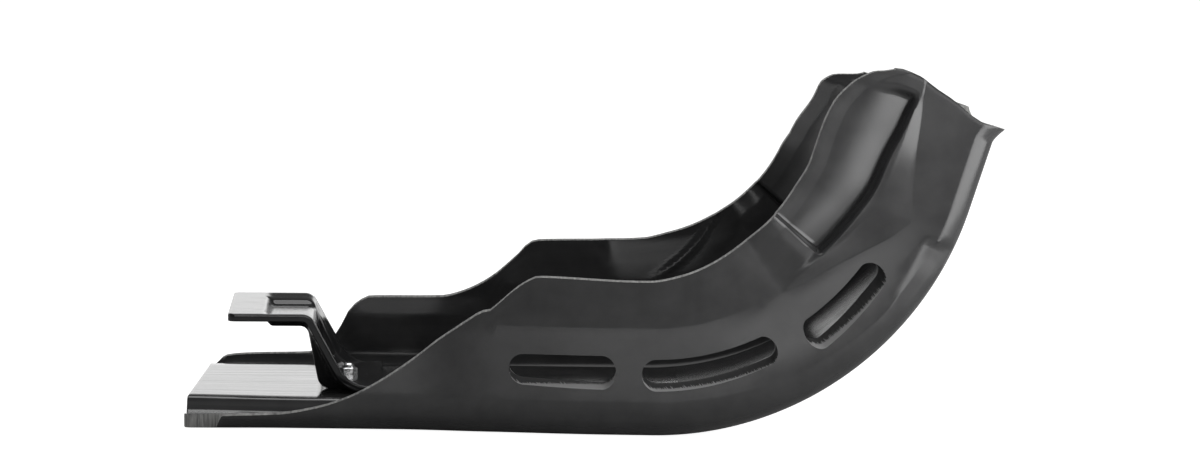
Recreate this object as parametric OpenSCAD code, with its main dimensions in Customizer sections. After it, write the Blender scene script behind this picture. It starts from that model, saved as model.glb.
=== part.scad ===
// Skid plate of an enduro motorcycle: a formed plastic tray with a turned up nose,
// and a moulded hook at the rear that is held by one bolt and nut.
// X runs from the rear edge to the nose, Y across, Z up. The origin is below the middle
// of the tray, on the surface that it stands on. The near side is the one with negative Y.

/* [Tray] */
// Overall length, from the rear edge to the tip of the nose
overall_l = 498; // [470:1:540]
// Thickness of the sheet
sheet_t = 8; // [5:0.5:9]
// Half width of the flat underside, beside the engine
flat_half = 107; // [98:1:116]
// How much narrower each half of the underside is at the rear
rear_taper = 13; // [4:1:16]
// Radius between the underside and the side walls
corner_r = 23; // [16:1:28]
// Radius of that corner in the nose
nose_corner_r = 13; // [11:0.5:18]
// Width of the raised middle of the floor
floor_w = 168; // [140:2:176]
// How far the middle of the floor is raised
floor_rise = 9; // [4:0.5:12]
// Width of the slope beside the raised floor
rise_run = 4; // [3:0.5:7]
// Distance by which a side wall leans in above its corner
wall_lean = 4; // [0:0.5:8]
// Height at which the lean of the side walls ends
lean_h = 68; // [45:1:75]

/* [Nose] */
// Outer radius of the bend that turns the nose up
bend_r = 200; // [180:1:215]
// Angle that the nose turns through
bend_a = 72.5; // [60:0.5:78]
// Straight length of the nose above the bend
nose_l = 54; // [46:1:64]
// Length of the lip that flares out at the end of the nose
lip_l = 10; // [6:0.5:14]
// How far the lip flares out
lip_flare = 5; // [2:0.5:7]

/* [Trim lines] */
// Height of the side walls beside the engine
side_h = 96; // [80:1:104]
// Height of the near wall at the rear, before it climbs
near_rear_h = 11; // [10:0.5:16]
// Height of the far wall at the rear, before its shelf
far_rear_h = 21; // [14:0.5:26]
// Height of the shelf on the far wall
far_shelf_h = 59; // [45:1:68]
// Depth of the side walls in the nose, on the near side
near_nose_h = 104.5; // [92:0.5:110]
// Depth of the side walls in the nose, on the far side
far_nose_h = 105; // [95:0.5:111]
// How far the near crest stands above the lip of the nose
near_crest = 15.5; // [4:0.5:18]
// How far the end of the nose dips between its two corners
nose_dip = 6; // [0:0.5:10]
// Radius of the rounded rear corner on the near side, seen from above
near_round = 4; // [2:0.5:10]
// Radius of the rounded rear corner on the far side, seen from above
far_round = 16; // [6:1:18]

/* [Relief in the nose] */
// How far the nose walls turn inwards between their fold and the hollow panel
fold_depth = 1.5; // [0:0.5:3]
// Depth of the hollow panel at its deepest line
panel_depth = 6; // [2:0.5:8]
// Width of the step down into the hollow panel
step_w = 6; // [3:0.5:8]
// Distance of the hollow panel from the end of the nose
panel_gap = 10; // [8:0.5:14]
// Height of the ridge in front of the hollow panel
ridge_h = 3; // [0:0.5:5]
// Width of the strip between the hollow panel and the trim line
strip_w = 10; // [5:0.5:14]
// How far that strip turns outwards at the trim line
strip_out = 1.5; // [0:0.5:3]

/* [Slots] */
// Height of the slots in the side walls
slot_h = 18; // [12:0.5:22]
// Length of the straight slot
slot_l = 65; // [40:1:80]
// Distance of the straight slot's middle behind the bend
slot_back = 55; // [48:1:70]
// Height of the straight slot's middle line above the underside
slot_z = 42; // [38:0.5:48]
// How far the lower lip of the straight slot rises through the wall
slot_lip = 3.5; // [0:0.5:5]
// Distance of the middle slot from the underside
mid_slot_z = 40; // [38:0.5:48]
// Angle along the bend at which the middle slot starts
mid_slot_a = 0.6; // [0:0.1:3]
// Angle that the middle slot turns through
mid_slot_turn = 24.4; // [14:0.2:26]
// How far the lower lip of the middle slot rises through the wall
mid_slot_lip = 4; // [0:0.5:6]
// Distance of the front slot from the underside
front_slot_z = 35; // [34:0.5:44]
// Angle along the bend at which the front slot starts
front_slot_a = 36.5; // [35:0.5:40]
// Angle that the front slot turns through
front_slot_turn = 16.5; // [10:0.5:18]
// How far the lower lip of the front slot rises through the wall
front_slot_lip = 6.5; // [0:0.5:8]

/* [Rear hook] */
// Width of the hook
hook_w = 124; // [80:2:136]
// Height of the tongue's upper side above the tray floor
hook_h = 49.4; // [38:0.1:60]
// Length of the tongue, from its end to the leg
tongue_l = 51; // [40:1:60]
// Thickness of the hook's sheet
tongue_t = 4.7; // [3.5:0.1:6]
// Depth of the trough between the two rails of the tongue
trough_d = 5.5; // [3:0.5:7]
// Width of each rail
rail_w = 20; // [12:1:26]
// Lean of the leg's rear side, in degrees
leg_lean = 11.5; // [5:0.5:16]
// Lean of the rails' front edges, in degrees
rail_lean = 29; // [20:0.5:34]
// Distance of the leg's rear side from the bolt, at the tray floor
leg_back = 18; // [16:0.5:22]
// Distance of the rails' front edges behind the bolt, at the top of the foot
rail_back = -1; // [-3:0.5:3]
// Length of the foot in front of the bolt
foot_l = 22; // [14:1:30]
// Angle by which the hook sits turned about its bolt
hook_turn = 3; // [0:0.5:4]
// Distance of the bolt from the rear edge of the tray
bolt_x = 95; // [92:1:104]

/* [Fastener] */
// Thread diameter of the bolt
bolt_d = 6; // [5:0.5:8]
// Clearance of the holes around the bolt
hole_gap = 0.6; // [0.4:0.1:1]
// Length of the bolt's end past the nut
bolt_end = 1.5; // [0.5:0.5:4]

/* [Hidden] */
plastic = "#3a3a3c";
zinc = "#c6c9cc";

// Side profile of the tray: a flat floor, the bend, and the straight nose
bend_len = bend_r * bend_a * PI / 180;
nose_end_x = bend_r * sin(bend_a) + nose_l * cos(bend_a) + lip_flare * sin(bend_a);
floor_l = overall_l - nose_end_x;
rear_x = -overall_l / 2;
bend_x = rear_x + floor_l;
bend_end = floor_l + bend_len;
path_l = bend_end + nose_l;
far = 1;
near = -1;

// The floor that the hook stands on, and the place of its bolt
deck_z = floor_rise + sheet_t;
bolt_at = rear_x + bolt_x;

function mix(a, b, t) = a + (b - a) * t;
function unit(t) = min(1, max(0, t));
function ease(t) = let (c = unit(t)) c * c * (3 - 2 * c);

// A smooth curve through [place, value] points that never overshoots them
function span_at(c, s, k = 0) = (k >= len(c) - 2 || s < c[k + 1][0]) ? k : span_at(c, s, k + 1);
function rate(c, k) = (c[k + 1][1] - c[k][1]) / (c[k + 1][0] - c[k][0]);
function slope(c, k) =
    (k == 0 || k == len(c) - 1) ? 0 :
    let (a = rate(c, k - 1), b = rate(c, k))
    a * b <= 0 ? 0 : 2 * a * b / (a + b);
function curve(c, s) =
    let (k = span_at(c, s), d = c[k + 1][0] - c[k][0], t = unit((s - c[k][0]) / d))
    let (t2 = t * t, t3 = t2 * t)
    (2 * t3 - 3 * t2 + 1) * c[k][1] + (t3 - 2 * t2 + t) * slope(c, k) * d
    + (3 * t2 - 2 * t3) * c[k + 1][1] + (t3 - t2) * slope(c, k + 1) * d;

// Trim lines: height of each wall above the underside, along the side profile.
// The part behind the bend is given from the rear edge, the rest by shares of the bend.
function near_trim() = [
    [0, sheet_t + 1], [floor_l * 0.105, near_rear_h - 1], [floor_l * 0.203, near_rear_h],
    [floor_l * 0.289, near_rear_h * 1.43],
    [floor_l * 0.354, side_h * 0.232], [floor_l * 0.419, side_h * 0.335], [floor_l * 0.494, side_h * 0.488],
    [floor_l * 0.543, side_h * 0.605], [floor_l * 0.576, side_h * 0.673], [floor_l * 0.615, side_h * 0.753],
    [floor_l * 0.634, side_h * 0.79], [floor_l * 0.655, side_h * 0.803], [floor_l * 0.664, side_h * 0.826],
    [floor_l * 0.695, side_h * 0.911], [floor_l * 0.719, side_h * 0.968], [floor_l * 0.757, side_h * 1.02],
    [floor_l * 0.97, side_h], [floor_l + bend_len * 0.12, mix(side_h, near_nose_h, 0.27)],
    [floor_l + bend_len * 0.57, near_nose_h], [floor_l + bend_len * 0.83, near_nose_h * 0.996],
    [bend_end, near_nose_h * 0.975], [bend_end + nose_l * 0.3, near_nose_h * 0.974],
    [bend_end + nose_l * 0.53, near_nose_h * 0.957], [bend_end + nose_l * 0.74, near_nose_h * 0.898],
    [bend_end + nose_l * 0.91, near_nose_h * 0.798], [path_l, near_nose_h * 0.68]];
function far_trim() = [
    [0, sheet_t + 1], [floor_l * 0.035, sheet_t + 4], [floor_l * 0.105, far_rear_h - 1.5],
    [floor_l * 0.22, far_rear_h], [floor_l * 0.25, far_rear_h * 1.15],
    [floor_l * 0.282, far_shelf_h * 0.58], [floor_l * 0.312, far_shelf_h * 0.85],
    [floor_l * 0.335, far_shelf_h * 0.95], [floor_l * 0.36, far_shelf_h],
    [floor_l * 0.525, far_shelf_h * 1.01],
    [floor_l * 0.57, far_shelf_h * 1.06], [floor_l * 0.63, mix(far_shelf_h, side_h, 0.32)],
    [floor_l * 0.7, mix(far_shelf_h, side_h, 0.77)], [floor_l * 0.73, side_h],
    [floor_l * 0.755, side_h * 1.014], [floor_l * 0.94, side_h * 1.02],
    [floor_l + bend_len * 0.13, mix(side_h, far_nose_h, 0.65)], [floor_l + bend_len * 0.5, far_nose_h],
    [floor_l + bend_len * 0.91, far_nose_h * 0.995], [bend_end + nose_l * 0.12, far_nose_h * 0.964],
    [bend_end + nose_l * 0.52, far_nose_h * 0.904], [bend_end + nose_l * 0.7, far_nose_h * 0.892],
    [bend_end + nose_l * 0.84, far_nose_h * 0.837], [path_l, far_nose_h * 0.65]];
near_line = near_trim();
far_line = far_trim();
function trim_h(side, s) = curve(side == near ? near_line : far_line, s);

// The end of the nose stands up past the lip on the near side and dips between its corners
dip_form = 0.7;
near_end = [[nose_corner_r, 0], [near_nose_h * 0.18, near_crest * 0.1],
    [near_nose_h * 0.28, near_crest * 0.43], [near_nose_h * 0.43, near_crest * 0.72],
    [near_nose_h * 0.53, near_crest * 0.95], [near_nose_h * 0.63, near_crest],
    [near_nose_h * 0.7, near_crest * 0.92]];
function end_rise(side, y, h) =
    (side == near ? curve(near_end, h) : 0) - nose_dip * pow(max(0, 1 - pow(y / flat_half, 2)), dip_form);

// The lip flares out along the front of the nose and fades out up its walls
lip_form = 1.4;
lip_fade_h = 30;
function lip_out(s, h) = (s <= path_l - lip_l) ? 0
    : lip_flare * pow((s - path_l + lip_l) / lip_l, lip_form) * (1 - ease(h / lip_fade_h));

// A point of the profile plane at distance s along the path and h inside it
function at_path(s, h) =
    s <= floor_l ? [rear_x + s, h] :
    s <= bend_end ?
        let (a = (s - floor_l) / bend_r * 180 / PI)
        [bend_x + (bend_r - h) * sin(a), bend_r - (bend_r - h) * cos(a)] :
        let (d = s - bend_end, o = h - lip_out(s, h))
        [bend_x + (bend_r - o) * sin(bend_a) + d * cos(bend_a),
         bend_r - (bend_r - o) * cos(bend_a) + d * sin(bend_a)];
function on_path(side, s, y, h) =
    let (d = s - bend_end)
    d <= 0 ? at_path(s, h) : let (p = at_path(s, h), rise = end_rise(side, y, h) * d / nose_l)
        p + rise * [cos(bend_a), sin(bend_a)];

// Widths along the path. The raised floor narrows a little towards the rear edge.
rear_narrow = 5;
rear_narrow_l = 70;
rear_half = flat_half - rear_taper;
function flat_at(s) = curve([[0, rear_half + 2], [floor_l * 0.21, rear_half - 1],
    [floor_l * 0.45, rear_half - 1], [floor_l * 0.67, mix(rear_half, flat_half, 0.45)],
    [floor_l * 0.9, flat_half - 1], [floor_l + bend_len * 0.16, flat_half], [path_l, flat_half]], s);
function corner_at(s) = mix(corner_r, nose_corner_r, ease((s - floor_l) / bend_len));
function floor_at(s) = floor_w / 2 - rear_narrow * (1 - ease(s / rear_narrow_l));
function rise_at(s) = floor_rise * (1 - ease((s - floor_l - bend_len * 0.62) / (bend_len * 0.36)));

// Relief of the nose walls. The lean of the wall ends at one point, the foot. From there a fold
// runs up to the trim line and a ridge up to the end of the nose. Behind the ridge is a hollow
// panel, in front of it a three sided facet, and a strip runs along the trim line.
foot_h = near_nose_h * 0.632;
fold_top = floor_l + bend_len * 0.395;
facet_start = floor_l + bend_len * 0.48;
facet_turn = floor_l + bend_len * 0.92;
facet_low = 0.305;
facet_end = 0.49;
panel_start = floor_l + bend_len * 0.67;
panel_end = path_l - panel_gap;
panel_step = 5;
panel_form = 1.6;
grow_l = 40;
ridge_marks = [[facet_start, foot_h], [floor_l + bend_len * 0.59, foot_h * 1.019],
    [floor_l + bend_len * 0.72, foot_h], [floor_l + bend_len * 0.85, foot_h * 0.956],
    [floor_l + bend_len * 0.96, foot_h * 0.897],
    [bend_end + nose_l * 0.22, foot_h * 0.861], [bend_end + nose_l * 0.54, foot_h * 0.81],
    [path_l, foot_h * 0.77]];
function ridge_line(s) = curve(ridge_marks, s);
facet_marks = [[facet_start - grow_l / 2, foot_h * 1.04], [facet_start, foot_h],
    [floor_l + bend_len * 0.64, foot_h * 0.899], [floor_l + bend_len * 0.78, foot_h * 0.726],
    [floor_l + bend_len * 0.845, foot_h * 0.608], [facet_turn, near_nose_h * facet_low],
    [bend_end, near_nose_h * 0.2]];
function facet_front(s) = s < facet_turn ? curve(facet_marks, s) :
    near_nose_h * mix(facet_low, facet_end, (s - facet_turn) / (path_l - facet_turn));
function fold_at(h) = mix(facet_start, fold_top, unit((h - foot_h) / (near_nose_h - foot_h)));
function relief(s, h, top) =
    let (low = ridge_line(s), high = low + step_w, down = unit((h - low) / step_w))
    let (along = ease((s - panel_start) / panel_step) * ease((panel_end + panel_step / 2 - s) / panel_step))
    let (v = unit((h - high) / (top - strip_w - high)), hollow = panel_depth * along * pow(1 - v, panel_form))
    let (sunk = fold_depth * unit((s - fold_at(h)) / (panel_start - fold_at(h))))
    let (grown = ease((s - facet_start) / grow_l))
    let (front = facet_front(s), raised = unit((h - front) / max(1, low - front)))
    let (ridge = ridge_h * grown * raised * (1 - down))
    ridge - (hollow + sunk) * down + strip_out * grown * unit((h - top + strip_w) / strip_w);

// Half section: points from the middle of the floor out to the trim line, as [y, h].
// inset is 0 on the underside and sheet_t on the upper side.
floor_marks = [0, 0.5, 0.93];
side_rows = 15;
function floor_points(s, inset) =
    let (half = floor_at(s), up = rise_at(s), a = atan2(up, rise_run))
    let (shift = (1 - inset / sheet_t) * sheet_t * tan(a / 2))
    concat([for (m = floor_marks) [m * (half - sheet_t), up + inset]],
        [[half - shift, up + inset], [half + rise_run - shift, inset]]);

// The rows of a side follow the corner and the lean of the wall, and in the nose the relief
corner_rows = 4;
lean_rows = 9;
least_row = 4;
function wall_row(k, arc, big, top) =
    k <= corner_rows ? arc * k / corner_rows :
    k <= lean_rows ? arc + (lean_h - big) * (k - corner_rows) / (lean_rows - corner_rows) :
    arc + lean_h - big + (top - lean_h) * (k - lean_rows) / (side_rows - lean_rows);
function nose_marks(s, big, top) =
    let (low = ridge_line(s), high = low + step_w, end = top - strip_w)
    let (f = min(max(facet_front(s), big + least_row), low - least_row / 4))
    [mix(big, f, 0.5), f, mix(f, low, 0.5), low, high, mix(high, end, 0.12), mix(high, end, 0.28),
        mix(high, end, 0.5), mix(high, end, 0.74), end, mix(end, top, 0.5), top];
function nose_row(k, arc, big, marks) = k <= 3 ? arc * k / 3 : arc + marks[k - 4] - big;
function side_lengths(s, arc, big, top, whole) =
    let (on_wall = ease((top - lean_h - least_row) / least_row / 2))
    let (on_nose = ease((s - floor_l - bend_len * 0.26) / (bend_len * 0.2)))
    let (marks = on_nose > 0 ? nose_marks(s, big, top) : [])
    [for (k = [0:side_rows])
        let (even = whole * k / side_rows)
        let (wall = on_wall > 0 ? mix(even, wall_row(k, arc, big, top), on_wall) : even)
        on_nose > 0 ? mix(wall, nose_row(k, arc, big, marks), on_nose) : wall];

// The rear end of each side is cut down to a lip, and its corner is rounded in plan
lip_end = 19;
lip_step = 6;
lip_low = 0.5;
lip_high = 0.6;
least_keep = 0.12;
function cut_top(side, s, inset) =
    let (top = trim_h(side, s))
    inset > 0 ? max(top, sheet_t + lip_high) : mix(lip_low, top, ease((s - lip_end) / lip_step));
function side_points(side, s, inset, y0) =
    let (big = corner_at(s), r = big - inset, base = flat_at(s), top = cut_top(side, s, inset))
    let (turn = top < big ? acos((big - top) / r) : 90)
    let (arc = r * turn * PI / 180, whole = arc + max(0, top - big))
    let (rr = side == near ? near_round : far_round)
    let (cut = s < rr ? rr - sqrt(rr * rr - (rr - s) * (rr - s)) : 0)
    let (room = base + r * sin(turn) - y0, keep = max(least_keep, (room - cut) / room))
    [for (d = side_lengths(s, arc, big, top, whole))
        let (a = min(turn, d / r * 180 / PI), h = (top < big || d <= arc) ? big - r * cos(a) : big + d - arc)
        let (lean = wall_lean * unit((h - big) / (lean_h - big)))
        let (out = base + r * sin(a) - lean + (s > fold_top ? relief(s, h, top) : 0))
        [y0 + (out - y0) * keep, h]];
function section_2d(side, s, inset) =
    let (inner = floor_points(s, inset))
    concat(inner, side_points(side, s, inset, inner[len(inner) - 1][0]));
half_count = len(floor_marks) + 2 + side_rows + 1;

// One station of the tray: 3D points from the near trim line to the far one
function in_place(side, s, p) = let (q = on_path(side, s, p[0], p[1])) [q[0], side * p[0], q[1]];
function station(s, inset) =
    let (a = section_2d(near, s, inset), b = section_2d(far, s, inset))
    concat([for (j = [half_count - 1:-1:1]) in_place(near, s, a[j])], [for (q = b) in_place(far, s, q)]);

// Stations along the path, closer where the form changes faster
function spread(a, b, n) = [for (i = [0:n - 1]) mix(a, b, i / n)];
stations = concat(
    [0, 1.5, 4, 8, 13, lip_end, lip_end + lip_step / 2, lip_end + lip_step],
    spread(lip_end + lip_step + least_row, floor_l, 22),
    spread(floor_l, facet_start, 7),
    spread(facet_start, panel_start, 5),
    spread(panel_start, panel_start + panel_step, 2),
    spread(panel_start + panel_step, bend_end, 11),
    spread(bend_end, panel_end - panel_step, 6),
    [panel_end - panel_step, panel_end - panel_step / 5, panel_end + panel_step / 2],
    [for (i = [1:3]) mix(panel_end + panel_step / 2, path_l, i / 3)]);

module sheet() {
    m = 2 * half_count - 1;
    n = len(stations);
    low = [for (s = stations) each station(s, 0)];
    up = [for (s = stations) each station(s, sheet_t)];
    o = n * m;
    function quad(a, b, c, d) = [[a, c, b], [a, d, c]];
    faces = concat(
        [for (i = [0:n - 2], j = [0:m - 2]) each
            quad(i * m + j, i * m + j + 1, (i + 1) * m + j + 1, (i + 1) * m + j)],
        [for (i = [0:n - 2], j = [0:m - 2]) each
            quad(o + i * m + j, o + (i + 1) * m + j, o + (i + 1) * m + j + 1, o + i * m + j + 1)],
        [for (j = [0:m - 2]) each quad(j, o + j, o + j + 1, j + 1)],
        [for (j = [0:m - 2]) let (e = (n - 1) * m + j) each quad(e, e + 1, o + e + 1, o + e)],
        [for (i = [0:n - 2]) each quad(i * m, (i + 1) * m, o + (i + 1) * m, o + i * m)],
        [for (i = [0:n - 2]) let (e = i * m + m - 1) each quad(e, o + e, o + e + m, e + m)]);
    polyhedron(points = concat(low, up), faces = faces, convexity = 8);
}

// Outline of a slot, along the path and inside it, from the start of its lower edge
slot_arc_steps = 8;
slot_side_steps = 6;
function slot_outline(start, end) =
    let (r = slot_h / 2)
    concat([for (i = [0:slot_side_steps - 1]) [mix(start, end, i / slot_side_steps), -r]],
        [for (i = [0:slot_arc_steps - 1]) let (a = 180 * i / slot_arc_steps)
            [end + r * sin(a), -r * cos(a)]],
        [for (i = [0:slot_side_steps - 1]) [mix(end, start, i / slot_side_steps), r]],
        [for (i = [0:slot_arc_steps - 1]) let (a = 180 * i / slot_arc_steps)
            [start - r * sin(a), r * cos(a)]]);

// Cutter for a slot at height h in the wall of one side, whose lower lip rises through the wall
slot_room = 8;
module slot_cutter(side, start, end, h, lip) {
    outline = slot_outline(start, end);
    n = len(outline);
    wall = flat_at(start) + corner_at((start + end) / 2) - wall_lean / 2;
    function ring(through) = [for (p = outline)
        let (rise = lip * through * (0.5 - p[1] / slot_h), q = at_path(p[0], h + p[1] + rise))
        [q[0], side * (wall - through * sheet_t), q[1]]];
    reach = slot_room / sheet_t;
    outside = ring(-reach);
    inside = ring(1 + reach);
    order = [for (i = [0:n - 1]) side == near ? i : n - 1 - i];
    sides = [for (i = [0:n - 1]) let (a = order[i], b = order[(i + 1) % n]) each
        [[a, b, n + b], [a, n + b, n + a]]];
    polyhedron(points = concat(outside, inside), convexity = 6,
        faces = concat([[for (i = [n - 1:-1:0]) order[i]]], [[for (i = [0:n - 1]) n + order[i]]], sides));
}
module slots(side) {
    function bend_at(angle) = floor_l + bend_r * angle * PI / 180;
    middle = floor_l - slot_back;
    half = (slot_l - slot_h) / 2;
    slot_cutter(side, middle - half, middle + half, slot_z, slot_lip);
    slot_cutter(side, bend_at(mid_slot_a), bend_at(mid_slot_a + mid_slot_turn), mid_slot_z, mid_slot_lip);
    slot_cutter(side, bend_at(front_slot_a), bend_at(front_slot_a + front_slot_turn), front_slot_z,
        front_slot_lip);
}

module skid_plate() {
    color(plastic) difference() {
        sheet();
        for (side = [near, far]) slots(side);
        translate([bolt_at, 0, floor_rise - 1]) cylinder(d = bolt_d + hole_gap, h = sheet_t + 2, $fn = 48);
    }
}

// Side outline of a path with rounded corners, each given as [x, z, radius, steps]
function turn_points(p, k) =
    let (b = [p[k][0], p[k][1]], r = p[k][2])
    r == 0 ? [b] :
    let (u = [p[k - 1][0], p[k - 1][1]] - b, v = [p[k + 1][0], p[k + 1][1]] - b)
    let (u1 = u / norm(u), v1 = v / norm(v), half = acos(u1 * v1) / 2)
    let (m = (u1 + v1) / norm(u1 + v1), c = b + m * r / sin(half))
    let (start = b + u1 * r / tan(half) - c, end = b + v1 * r / tan(half) - c, n = p[k][3])
    let (sweep = 180 - 2 * half, way = sign(start[0] * end[1] - start[1] * end[0]))
    [for (i = [0:n]) let (a = way * sweep * i / n)
        c + [start[0] * cos(a) - start[1] * sin(a), start[0] * sin(a) + start[1] * cos(a)]];
function rounded_path(p) = [for (k = [0:len(p) - 1]) each turn_points(p, k)];

// The hook is a formed sheet. Its edges are rails that stand in front of its sunken middle,
// so each follows a path of its own. low is 0 on the upper side and 1 on the lower side.
tongue_z = deck_z + hook_h;
foot_z = deck_z + tongue_t;
tongue_x = bolt_at - rail_back - (tongue_z - foot_z) * tan(rail_lean) - tongue_l;
sink_x = tongue_x + tongue_l * 0.4;
sink_l = 7;
rail_bend_r = 8.5;
trough_bend_r = 5.5;
foot_bend_r = 20;
trough_foot_r = 5;
tongue_round = 5;
function rail_x(z, low) =
    bolt_at - rail_back - (z - foot_z) * tan(rail_lean) - low * tongue_t / cos(rail_lean);
function leg_x(z, low) =
    bolt_at - leg_back - (z - deck_z) * tan(leg_lean) + (1 - low) * tongue_t / cos(leg_lean);
function tongue_part(low, sink) =
    let (top = tongue_z - low * tongue_t)
    [[tongue_x, top, 0], [tongue_x + tongue_round * 0.3, top, 0], [tongue_x + tongue_round, top, 0],
        [sink_x, top, 0], [sink_x + sink_l, top - sink, 0]];
function rail_path(low) =
    let (top = tongue_z - low * tongue_t, foot = foot_z - low * tongue_t)
    rounded_path(concat(tongue_part(low, 0), [[rail_x(top, low), top, rail_bend_r - low * tongue_t, 6],
        [rail_x(foot, low), foot, foot_bend_r + low * tongue_t, 8], [bolt_at + foot_l, foot, 0]]));
function trough_path(low) =
    let (top = tongue_z - low * tongue_t - trough_d, foot = foot_z - low * tongue_t)
    rounded_path(concat(tongue_part(low, trough_d), [[leg_x(top, low), top, trough_bend_r, 6],
        [leg_x(foot, low), foot, trough_foot_r + low * tongue_t * 0.64, 8], [bolt_at + foot_l, foot, 0]]));

module hook_sheet() {
    half = hook_w / 2;
    slope_w = 5;
    rim_w = 1.2;
    side = [[half, 0], [half - rim_w, 0], [half - rail_w * 0.5, 0.2], [half - rail_w, 0.45],
        [half - rail_w - slope_w, 1]];
    rows = concat([for (r = side) [-r[0], r[1]]], [for (k = [len(side) - 1:-1:0]) side[k]]);
    m = len(rows);
    ends = [half - tongue_round, half - tongue_round * 0.4];
    function width(i) = i < len(ends) ? ends[i] : half;
    function lofted(a, b) = [for (i = [0:len(a) - 1], r = rows)
        let (p = mix(a[i], b[i], r[1])) [p[0], r[0] * width(i) / half, p[1]]];
    up = lofted(rail_path(0), trough_path(0));
    low = lofted(rail_path(1), trough_path(1));
    n = len(up) / m;
    o = n * m;
    function quad(a, b, c, d) = [[a, c, b], [a, d, c]];
    faces = concat(
        [for (i = [0:n - 2], j = [0:m - 2]) each
            quad(i * m + j, i * m + j + 1, (i + 1) * m + j + 1, (i + 1) * m + j)],
        [for (i = [0:n - 2], j = [0:m - 2]) each
            quad(o + i * m + j, o + (i + 1) * m + j, o + (i + 1) * m + j + 1, o + i * m + j + 1)],
        [for (j = [0:m - 2]) each quad(j, o + j, o + j + 1, j + 1)],
        [for (j = [0:m - 2]) let (e = (n - 1) * m + j) each quad(e, e + 1, o + e + 1, o + e)],
        [for (i = [0:n - 2]) each quad(i * m, (i + 1) * m, o + (i + 1) * m, o + i * m)],
        [for (i = [0:n - 2]) let (e = i * m + m - 1) each quad(e, o + e, o + e + m, e + m)]);
    polyhedron(points = concat(low, up), faces = faces, convexity = 6);
}

module rear_hook() {
    color(plastic) difference() {
        translate([bolt_at, 0, 0]) rotate([0, 0, hook_turn]) translate([-bolt_at, 0, 0]) hook_sheet();
        translate([bolt_at, 0, deck_z - 1]) cylinder(d = bolt_d + hole_gap, h = tongue_t + 2, $fn = 48);
    }
}

// Flanged button head bolt, pushed up from below, with a hexagonal socket in its head
flange_d = bolt_d * 2.2;
head_d = bolt_d * 1.6;
head_h = bolt_d * 0.55;
flange_t = bolt_d * 0.15;
nut_w = bolt_d * 1.667;
nut_h = bolt_d * 0.85;

module hook_bolt() {
    bolt_top = foot_z + nut_h + bolt_end;
    color(zinc) translate([bolt_at, 0, 0]) difference() {
        rotate_extrude($fn = 64) polygon([[0, floor_rise - head_h], [head_d * 0.36, floor_rise - head_h],
            [head_d * 0.46, floor_rise - head_h * 0.75], [head_d / 2, floor_rise - flange_t],
            [flange_d / 2 - 0.3, floor_rise - flange_t], [flange_d / 2, floor_rise - flange_t * 0.6],
            [flange_d / 2, floor_rise], [bolt_d / 2, floor_rise], [bolt_d / 2, bolt_top - 0.8],
            [bolt_d / 2 - 0.8, bolt_top], [0, bolt_top]]);
        translate([0, 0, floor_rise - head_h - 1])
            cylinder(d = bolt_d * 0.75, h = bolt_d * 0.33 + 1, $fn = 6);
    }
}

// Hexagonal nut with its corners turned off above and a collar that grips the thread
nut_gap = 0.1;

module hook_nut() {
    color(zinc) translate([bolt_at, 0, foot_z]) difference() {
        union() {
            intersection() {
                cylinder(d = nut_w / cos(30), h = nut_h * 0.78, $fn = 6);
                rotate_extrude($fn = 64) polygon([[0, 0], [nut_w / 2 + 0.1, 0], [nut_w * 0.6, nut_w * 0.07],
                    [nut_w * 0.6, nut_h * 0.6], [nut_w * 0.46, nut_h * 0.78], [0, nut_h * 0.78]]);
            }
            translate([0, 0, nut_h * 0.7])
                cylinder(d1 = nut_w * 0.9, d2 = nut_w * 0.78, h = nut_h * 0.3, $fn = 64);
        }
        translate([0, 0, -1]) cylinder(d = bolt_d + nut_gap, h = nut_h + 2, $fn = 48);
    }
}

skid_plate();
rear_hook();
hook_bolt();
hook_nut();
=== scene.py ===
import math
import bpy
from mathutils import Matrix, Vector


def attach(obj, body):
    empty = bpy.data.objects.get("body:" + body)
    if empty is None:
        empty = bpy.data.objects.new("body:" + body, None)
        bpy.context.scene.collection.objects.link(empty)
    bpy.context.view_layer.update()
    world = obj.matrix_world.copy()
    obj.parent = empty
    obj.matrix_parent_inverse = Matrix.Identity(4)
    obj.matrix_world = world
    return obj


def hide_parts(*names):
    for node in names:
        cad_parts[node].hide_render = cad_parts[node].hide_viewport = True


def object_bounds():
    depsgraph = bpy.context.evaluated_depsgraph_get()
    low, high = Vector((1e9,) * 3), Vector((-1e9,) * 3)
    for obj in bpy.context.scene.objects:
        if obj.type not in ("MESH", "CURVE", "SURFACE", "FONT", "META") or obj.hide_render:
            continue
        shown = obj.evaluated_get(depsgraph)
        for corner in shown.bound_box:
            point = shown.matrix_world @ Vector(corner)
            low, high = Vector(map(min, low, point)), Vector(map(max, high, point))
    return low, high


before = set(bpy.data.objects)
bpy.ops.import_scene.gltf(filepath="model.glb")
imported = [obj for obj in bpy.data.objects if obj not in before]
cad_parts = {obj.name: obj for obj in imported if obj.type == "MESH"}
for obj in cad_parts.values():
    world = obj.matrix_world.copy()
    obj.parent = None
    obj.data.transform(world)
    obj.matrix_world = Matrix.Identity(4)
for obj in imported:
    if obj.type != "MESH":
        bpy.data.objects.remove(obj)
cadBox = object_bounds()
print("frame loaded")

near = -1        # side of the wall that faces the camera
far = 1


# Small helpers for forms

def mix(a, b, t):
    return a + (b - a) * t


def unit(t):
    return min(1.0, max(0.0, t))


def ease(t):
    t = unit(t)
    return t * t * (3 - 2 * t)


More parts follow.
